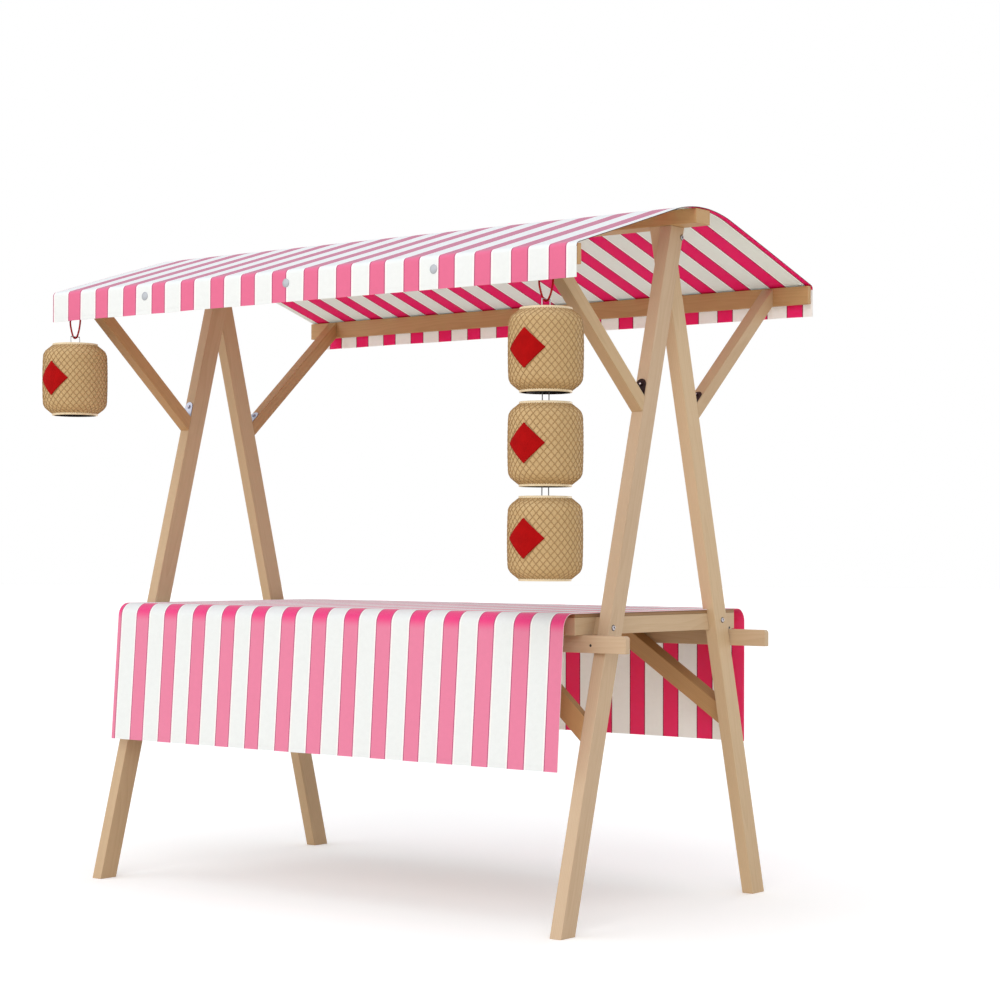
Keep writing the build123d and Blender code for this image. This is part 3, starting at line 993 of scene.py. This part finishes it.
# Nearly black: a painted shade for the inside of the lantern.
painted_shade_colour = tint(30, 20, 12)
straw = finish_of("straw cloth", straw_colour, 0.8, straw_height, depth=0.0006, strength=0.7)
cane = finish_of("split cane", cane_colour, 0.5, straw_height, depth=0.0003, strength=0.5)
hoop_cane = finish_of("hoop cane", hoop_colour, 0.48, straw_height, depth=0.0003, strength=0.4)
painted_shade_straw = finish_of("straw inside, painted shade", painted_shade_colour, 0.95, straw_height, depth=0.0006, strength=0.7)
print("finishes:", straw.name, cane.name, hoop_cane.name, painted_shade_straw.name, sep="\n ")

# %% [markdown]
# The lantern is a turned form: one outline goes once round an axis. So do the hoops, bolt heads
# and press studs, and one lathe serves them all. It spins the outline, welds the seam and the
# poles, and makes the faces point outwards. The outline has a neck, a round bend and a flank that
# bellies out, and its lower half is the upper one mirrored.

# %% the lathe and the lantern's outline
AROUND = 64
NECK = (0.067, 0.108)
BEND, BEND_RADIUS = (0.0675, 0.0694), 0.030
BELLY = [(0.0984, 0.0480), (0.0989, 0.0240), (0.0990, 0.0)]


def turned(outline, steps, closed=False):
    bm = bmesh.new()
    line = [bm.verts.new((r, 0, z)) for r, z in outline]
    edges = [bm.edges.new(pair) for pair in zip(line, line[1:])]
    if closed:
        edges.append(bm.edges.new((line[-1], line[0])))
    bmesh.ops.spin(
        bm,
        geom=line + edges,
        cent=(0, 0, 0),
        axis=(0, 0, 1),
        angle=2 * math.pi,
        steps=steps,
        use_merge=True,
    )
    bmesh.ops.remove_doubles(bm, verts=bm.verts, dist=1e-6)
    bmesh.ops.recalc_face_normals(bm, faces=bm.faces)
    return bm


flank = [NECK]
for degrees in (51.8, 39, 26, 13, 0):
    turn = math.radians(degrees)
    flank.append((BEND[0] + BEND_RADIUS * math.cos(turn), BEND[1] + BEND_RADIUS * math.sin(turn)))
flank += BELLY
outline = flank + [(r, -z) for r, z in reversed(flank[:-1])]
shell = mesh_from(turned(outline, AROUND), "lantern wall")
print("lantern wall", len(shell.polygons), "faces")

# %% [markdown]
# The net is plain weave on the slant: every strand winds part of the way round while it climbs,
# and goes over one crossing and under the next. A relief alone would look flat at the outline, so
# the strands are real. One strand of each slant is drawn as a curve and then spun round the axis,
# because on a turned form every strand is the same strand.

# %% the cane net
CELLS = 32
WIND = 2.14
STRAND_RADIUS, STRAND_OUT, STRAND_OVER = 0.0010, 0.0006, 0.0004
STRAND_STEPS = 72


def flank_at(share):
    """Radius and height at a share of the way down the outline, by its length."""
    lengths = [math.dist(a, b) for a, b in zip(outline, outline[1:])]
    left = share * sum(lengths)
    for (a, b), length in zip(zip(outline, outline[1:]), lengths):
        if left <= length:
            t = left / length
            return a[0] + (b[0] - a[0]) * t, a[1] + (b[1] - a[1]) * t
        left -= length
    return outline[-1]


def strand_line(way):
    points = []
    for i in range(STRAND_STEPS + 1):
        r, z = flank_at(i / STRAND_STEPS)
        wind = WIND * (i / STRAND_STEPS - 0.5)
        r += STRAND_OUT + STRAND_OVER * way * math.cos(CELLS * wind)
        points.append(Vector((r * math.sin(way * wind), -r * math.cos(way * wind), z)))
    return points


bm = bmesh.new()
for way in (-1, 1):
    strand = bmesh.new()
    strand.from_mesh(shaded(tube([strand_line(way)], STRAND_RADIUS, 3, f"strand {way}")))
    bmesh.ops.spin(
        strand,
        geom=strand.verts[:] + strand.edges[:] + strand.faces[:],
        cent=(0, 0, 0),
        axis=(0, 0, 1),
        angle=2 * math.pi * (CELLS - 1) / CELLS,
        steps=CELLS - 1,
        use_duplicate=True,
    )
    bm.from_mesh(mesh_from(strand, "strands"))
net = mesh_from(bm, "net")
print("net", len(net.polygons), "faces")

# %% [markdown]
# A hoop is a strip of cane bent into a ring. Its section is a small block with eased corners, in
# eight points, turned round the axis once at each mouth. A torus would be quicker, but split cane
# has flat faces.

# %% the hoops
HOOP = [(0.0645, -0.0032), (0.0652, -0.0040), (0.0694, -0.0040), (0.0704, -0.0030)]
HOOP += [(0.0704, 0.0030), (0.0694, 0.0040), (0.0652, 0.0040), (0.0645, 0.0032)]
bm = bmesh.new()
for level in (NECK[1], -NECK[1]):
    ring = turned([(r, z + level) for r, z in HOOP], AROUND, closed=True)
    bm.from_mesh(mesh_from(ring, "hoop"))
rings = mesh_from(bm, "hoops")
print("hoops", len(rings.polygons), "faces")

# %% [markdown]
# Four lanterns are the same lantern in four places: one on the left, three in a stack on the
# right, a link apart. Each is a copy of the wall, the net and the hoops, moved to its middle. The
# wall gets its thickness inwards. The hoops' inner faces get the same painted shade as the inside
# of the wall.

# %% the lanterns
LANTERN_TOP, LANTERN_HALF, LANTERN_PITCH = 1.6728, 0.112, 0.2485


def moved(mesh, middle):
    bm = bmesh.new()
    bm.from_mesh(mesh)
    bmesh.ops.translate(bm, vec=middle, verts=bm.verts)
    return bm


def hang_lantern(name, middle):
    lining = piece_from(moved(shell, middle), name + "_lining", straw)
    lining.data.materials.append(painted_shade_straw)
    thicken(lining, 0.0016, -1.0, inside=1)
    piece_from(moved(net, middle), name + "_net", cane)
    bm = moved(rings, middle)
    hoops = piece_from(bm, name + "_hoops", hoop_cane, smooth=False)
    hoops.data.materials.append(painted_shade_straw)
    # Faces that point in towards the axis get the painted shade.
    for face in hoops.data.polygons:
        out = (face.center - middle) * Vector((1, 1, 0))
        face.material_index = 1 if face.normal.dot(out) < -0.5 * out.length else 0
    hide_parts(name)


top_z = LANTERN_TOP - LANTERN_HALF
middles = {"left_lantern": Vector((LANTERN_X["left"], LANTERN_Y, top_z))}
for place, name in enumerate(("top", "middle", "bottom")):
    height = top_z - LANTERN_PITCH * place
    middles["right_lantern_" + name] = Vector((LANTERN_X["right"], LANTERN_Y, height))
for name, middle in middles.items():
    hang_lantern(name, middle)
print("lanterns", list(middles))

# %% [markdown]
# Each lantern carries a plain red paper square, stood on its corner, on the side that faces the
# customers. A grid is turned by an eighth and wrapped round the belly, just proud of the net. A
# Shrinkwrap modifier could press it on, but it would follow every strand.

# %% the red paper squares
SQUARE_HALF, SQUARE_RADIUS, SQUARE_STEPS = 0.038, 0.1012, 14
SQUARE_STRETCH, SQUARE_TURN = 1.08, 0.045
red_paper = finish_of(
    "red paper",
    drifting(40.0, 3.0, (150, 3, 6), (184, 10, 12)),
    0.9,
    height=straw_height,
    depth=0.0002,
    strength=0.4,
    others={"Specular IOR Level": 0.12},
)
for name, middle in middles.items():
    bm = bmesh.new()
    bmesh.ops.create_grid(
        bm,
        x_segments=SQUARE_STEPS,
        y_segments=SQUARE_STEPS,
        size=SQUARE_HALF,
    )
    bmesh.ops.rotate(bm, verts=bm.verts, matrix=Matrix.Rotation(math.pi / 4, 3, "Z"))
    for v in bm.verts:
        turn = SQUARE_STRETCH * v.co.x / BELLY[-1][0] + SQUARE_TURN
        x, y = SQUARE_RADIUS * math.sin(turn), -SQUARE_RADIUS * math.cos(turn)
        v.co = middle + Vector((x, y, v.co.y))
    bmesh.ops.recalc_face_normals(bm, faces=bm.faces)
    if sum((f.calc_center_median() - middle).dot(f.normal) for f in bm.faces) < 0:
        bmesh.ops.reverse_faces(bm, faces=bm.faces)
    square = piece_from(bm, name + "_square", red_paper)
    thicken(square, 0.0006, 1.0)
print("a paper square has", len(square.data.polygons), "faces")

# %% [markdown]
# Metal. Bails and eyes are bright drawn steel. The links between the lanterns are given a darker
# wire, a painted dark reflection of the shade round them. The left brackets and the bolts are zinc
# plated. The right brackets are painted a glossy dark brown, a painted reflection of dark
# surroundings and shade. Zinc has a faint crystal pattern, and the dark gloss pools a little, so
# both get slow noise in their roughness. The wires keep their measured mesh, and the brackets get
# eased edges as the boards do.

# %% metal finishes
METAL = {"Metallic": 1.0}
ENDS, SIDES = ("left", "right"), ("front", "rear")


def mottled(low, high, scale):
    """A roughness that drifts between two values."""
    def roughness(tree):
        cloud = lumps(tree, on_piece(tree), scale, 3.0)
        return add(tree, "MapRange", {"Value": cloud, "To Min": low, "To Max": high}).outputs[0]

    return roughness


zinc = finish_of("zinc plate", tint(168, 172, 186), mottled(0.3, 0.46, 300.0), others=METAL)
drawn = finish_of("drawn wire", tint(178, 178, 180), mottled(0.2, 0.34, 500.0), others=METAL)
# The links are painted darker: a painted dark reflection.
painted_reflection_wire = finish_of("wire, painted dark reflection", tint(96, 92, 90), mottled(0.25, 0.4, 500.0), others=METAL)
gloss = {"Specular IOR Level": 0.3}
# Dark brown gloss for the right brackets: a painted reflection and shade.
painted_dark_reflection = finish_of("dark brown, painted reflection", tint(34, 10, 10), mottled(0.3, 0.4, 200.0), others=gloss)
wires = {"lantern_link_upper": painted_reflection_wire, "lantern_link_lower": painted_reflection_wire}
for end in ENDS:
    wires[end + "_lantern_bail"] = drawn
    wires[end + "_screw_eye"] = drawn
for name, finish in wires.items():
    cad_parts[name].data.materials.clear()
    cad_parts[name].data.materials.append(finish)
for end, finish, slot in (("left", zinc, "zinc_steel"), ("right", painted_dark_reflection, "dark_steel")):
    for side in SIDES:
        eased(f"{end}_{side}_bracket", 0.0005, finish)
print("metal on", len(wires) + len(ENDS) * len(SIDES), "parts")

# %% [markdown]
# Bolts and screws. A leg is held to the counter by a barrel bolt with a broad flat head and a
# hexagon socket, the crossed legs by one more, and the bearers by screws that are sunk deep, so
# that only a dark hole shows. The dark ring round each head, the dark floor of each socket and
# each dark hole are painted shadow: flat near-black parts where the recesses would be in shade.
# Small pins close the brackets, and press studs the canopy. Each is a turned outline, and with
# only six steps round the socket becomes a hexagon. All of one kind are joined into one mesh.

# %% the outlines of bolts, screws, pins and press studs
HEAD = [(0.0032, 0.0012), (0.0032, 0.0030), (0.0052, 0.0030), (0.0064, 0.0022), (0.0070, 0.0010)]
HEAD += [(0.0070, -0.0004), (0.0032, -0.0004)]
SOCKET = [(0.0, 0.0014), (0.0033, 0.0014), (0.0033, -0.0002), (0.0, -0.0002)]
# A flat ring under each head and a flat disc for each screw hole, in painted shadow.
SEAT_SHADOW = [(0.0064, -0.0002), (0.0064, 0.0004), (0.0084, 0.0004), (0.0087, -0.0002)]
HOLE_SHADOW = [(0.0, 0.0001), (0.0022, 0.0001), (0.0036, 0.0004), (0.0039, -0.0002), (0.0, -0.0002)]
STUD = [(0.0, 0.0036), (0.0050, 0.0034), (0.0090, 0.0027), (0.0118, 0.0016), (0.0130, 0.0006)]
STUD += [(0.0130, 0.0), (0.0, 0.0)]
PIN = [(0.0, 0.0005), (0.0020, 0.0004), (0.0028, 0.0001), (0.0028, -0.0002), (0.0, -0.0002)]


def facing(place, normal):
    return Matrix.Translation(place) @ Vector(normal).to_track_quat("Z", "Y").to_matrix().to_4x4()


def fixing(name, outline, places, finish, steps=28, smooth=True):
    """One piece with the same turned outline at every place. An outline off the axis is closed."""
    bm = bmesh.new()
    for place, normal in places:
        one = turned(outline, steps, closed=outline[0][0] > 0)
        bmesh.ops.transform(one, matrix=facing(place, normal), verts=one.verts)
        bm.from_mesh(mesh_from(one, name))
    return piece_from(bm, name, finish, smooth)


print("a press stud is", 2000 * max(r for r, z in STUD), "mm across")

# %% [markdown]
# The frame is the same from its left end as from its right, so the places of the bolts are
# written for the right end and turned by half a turn for the left.

# %% bolts and screws
OUTER_LEG_BOLT, INNER_LEG_BOLT = (0.929, -0.312, 0.822), (0.891, 0.305, 0.830)
CROSSING_BOLT = (0.929, 0.020, 1.925)
LEG_SCREW, BEARER_SCREW_X, BEARER_SCREW_Z = (0.868, 0.380, 0.805), 0.894, 0.7745
HALF_TURN = (1, -1)
bolts = []
for turn in HALF_TURN:
    for x, y, z in (OUTER_LEG_BOLT, INNER_LEG_BOLT, CROSSING_BOLT):
        bolts.append(((turn * x, turn * y, z), (turn, 0, 0)))
screws = []
front_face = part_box("front_bearer")[0].y
for x in (-BEARER_SCREW_X, BEARER_SCREW_X):
    for side in (-1, 1):
        screws.append(((x, -side * front_face, BEARER_SCREW_Z), (0, side, 0)))
for turn in HALF_TURN:
    x, y, z = LEG_SCREW
    screws.append(((turn * x, turn * y, z), (turn, 0, 0)))
worn = tint(176, 172, 176)
worn_zinc = finish_of("worn zinc", worn, mottled(0.3, 0.46, 300.0), others=METAL)
# Near black for seats, sockets and screw holes: painted shadow.
painted_shadow_black = finish_of("painted shadow black", tint(26, 22, 22), 0.6)
fixing("frame_bolts", HEAD, bolts, worn_zinc, 36)
fixing("bolt_seat_shadows", SEAT_SHADOW, bolts, painted_shadow_black, 36)
fixing("bolt_sockets", SOCKET, bolts, painted_shadow_black, 6, smooth=False)
fixing("screw_hole_shadows", HOLE_SHADOW, screws, painted_shadow_black)
print("bolts", len(bolts), "screws", len(screws))

# %% [markdown]
# Each bracket is pinned once to its leg and once to its strut, so a pin stands on a slanted face:
# its place and its normal lie in the end frame's plane. The pins are near white and not metallic:
# a painted glint. The press studs stand in two rows on the canopy's hanging edges.

# %% bracket pins and press studs
OUTER_X, INNER_X = 0.910, 0.872
LEG_PIN, LEG_FACE = (0.16047, 1.49921), (0.9668, 0.2554)
STRUT_PIN, STRUT_FACE = (0.18529, 1.49166), (-0.6608, 0.7505)
STUD_X, STUD_Y, STUD_Z = (-0.600, -0.016, 0.534), EAVE_Y + 0.0012, 1.800
pins = []
for turn in HALF_TURN:
    for x, side in ((turn * OUTER_X, -turn), (turn * INNER_X, turn)):
        for (y, z), (out_y, out_z) in ((LEG_PIN, LEG_FACE), (STRUT_PIN, STRUT_FACE)):
            pins.append(((x, side * y, z), (0, side * out_y, out_z)))
studs = []
for x in STUD_X:
    for side in (-1, 1):
        studs.append(((x, side * STUD_Y, STUD_Z), (0, side, 0)))
half_metal = {"Metallic": 0.6}
matt_zinc = mottled(0.5, 0.6, 300.0)
# Near white and not metallic: a painted glint on the pins.
zinc_painted_glint = finish_of("zinc, painted glint", tint(238, 226, 232), matt_zinc)
dull_zinc = finish_of("dull zinc", tint(176, 180, 186), matt_zinc, others=half_metal)
fixing("bracket_pins", PIN, pins, zinc_painted_glint)
fixing("canopy_press_studs", STUD, studs, dull_zinc)
print("pins", len(pins), "press studs", len(studs))

# %% [markdown]

# %% [markdown]
# The stall stands on a plain white floor, as in a studio. The floor is so large that its edge
# is never seen, and to the camera and in reflections it glows a little, so that it reads as white
# without more light on the stall. What it throws back up is a little warm.

# %% the floor
FLOOR_RADIUS = 60
FLOOR_GLOW = 0.22
WARM_BOUNCE = (248, 236, 216)


def seen_share(tree, path):
    """1 for what the camera or a glossy face sees, 0 for the light that falls on things."""
    return reckon(tree, "MAXIMUM", path.outputs["Is Camera Ray"], path.outputs["Is Glossy Ray"])


def floor_finish():
    material, tree, skin = bare("white floor")
    path = add(tree, "LightPath")
    grain = lumps(tree, on_piece(tree), 30.0)
    colour = blend(tree, grain, tint(247, 247, 246), tint(250, 250, 249))
    colour = blend(tree, path.outputs["Is Diffuse Ray"], colour, tint(*WARM_BOUNCE))
    fill(tree, skin, {"Base Color": colour, "Roughness": 0.9})
    glow = add(tree, "Emission", {"Color": (1, 1, 1, 1), "Strength": FLOOR_GLOW})
    both = add(tree, "AddShader", {0: skin.outputs[0], 1: glow.outputs[0]})
    shaders = {0: seen_share(tree, path), 1: skin.outputs[0], 2: both.outputs[0]}
    mixed = add(tree, "MixShader", shaders)
    tree.links.new(mixed.outputs[0], tree.nodes["Material Output"].inputs[0])
    return material


disc = bmesh.new()
bmesh.ops.create_circle(disc, cap_ends=True, radius=FLOOR_RADIUS, segments=96)
floor = in_scene("floor", mesh_from(disc, "floor"))
floor.data.materials.append(floor_finish())
print("floor", 2 * FLOOR_RADIUS, "m across")

# %% [markdown]
# A soft sky fills the shadows from all sides, a little cool. The camera, glossy and clear faces
# see it as plain white, so the background costs no light on the stall. A picture of a studio
# could light it as well, but a script that brings no file is easier to pass on.

# %% the sky
world = bpy.data.worlds.new("studio sky")
bpy.context.scene.world = world
world.use_nodes = True
sky = world.node_tree
sky.nodes.clear()
path = add(sky, "LightPath")
seen = reckon(sky, "MAXIMUM", seen_share(sky, path), path.outputs["Is Transmission Ray"])
soft = add(sky, "Background", {"Color": (0.98, 1, 1.04, 1), "Strength": 0.50})
plain = add(sky, "Background", {"Color": (1, 1, 1, 1), "Strength": 1.0})
mixed = add(sky, "MixShader", {0: seen, 1: soft.outputs[0], 2: plain.outputs[0]})
add(sky, "OutputWorld", {0: mixed.outputs[0]})
bpy.context.scene.view_settings.view_transform = "Standard"
print("sky,", len(sky.nodes), "nodes")

# %% [markdown]
# Suns that are tens of degrees wide act as lamps behind a large diffuser. The key stands at the
# front right. The fill is low on the left, so that it reaches the cloth under the canopy and
# behind the counter. One lamp shines from above, and the last low from behind, through the rear
# edge of the canopy and the rear drop of the table cloth.

# %% the lamps
def lamp(name, energy, spread, tilt, turn):
    light = bpy.data.lights.new(name, "SUN")
    light.energy = energy
    light.angle = math.radians(spread)
    holder = in_scene(name, light)
    holder.rotation_euler = (math.radians(tilt), 0, math.radians(turn))


lamp("key", energy=0.90, spread=40, tilt=61, turn=31)
lamp("fill", energy=0.84, spread=60, tilt=78, turn=-32)
lamp("top", energy=0.62, spread=50, tilt=8, turn=0)
lamp("back", energy=1.0, spread=24, tilt=84, turn=180)
print("lamps", [light.name for light in bpy.data.lights])
